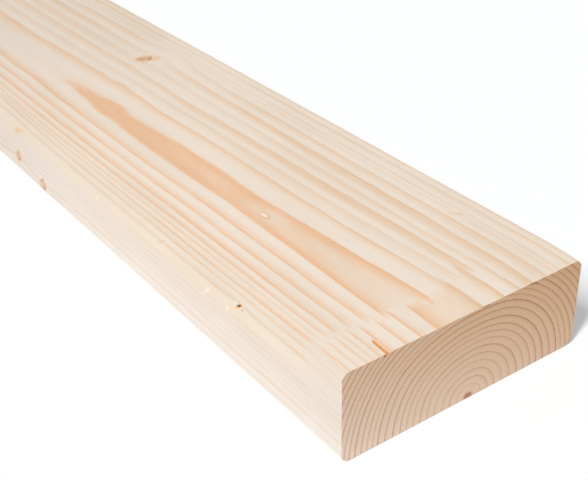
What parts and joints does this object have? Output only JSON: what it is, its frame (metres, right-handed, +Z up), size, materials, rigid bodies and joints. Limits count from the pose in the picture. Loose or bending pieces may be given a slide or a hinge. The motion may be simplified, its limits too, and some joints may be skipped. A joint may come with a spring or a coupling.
{
  "type": "timber plank",
  "caption": "Long straight plank of planed softwood with a rectangular section, eased long edges and square-cut ends, for framing and general building work.",
  "frame": {"origin": "middle of the underside, on the floor that the plank lies on", "axes": "+X along the grain towards the end that shows in the picture, +Y across the width away from the side that shows, +Z up through the thickness"},
  "size_m": [2.4, 0.125, 0.044],
  "materials": {
    "softwood": "planed, unfinished, matte"
  },
  "bodies": {
    "root": {"plank": "softwood"}
  },
  "joints": []
}
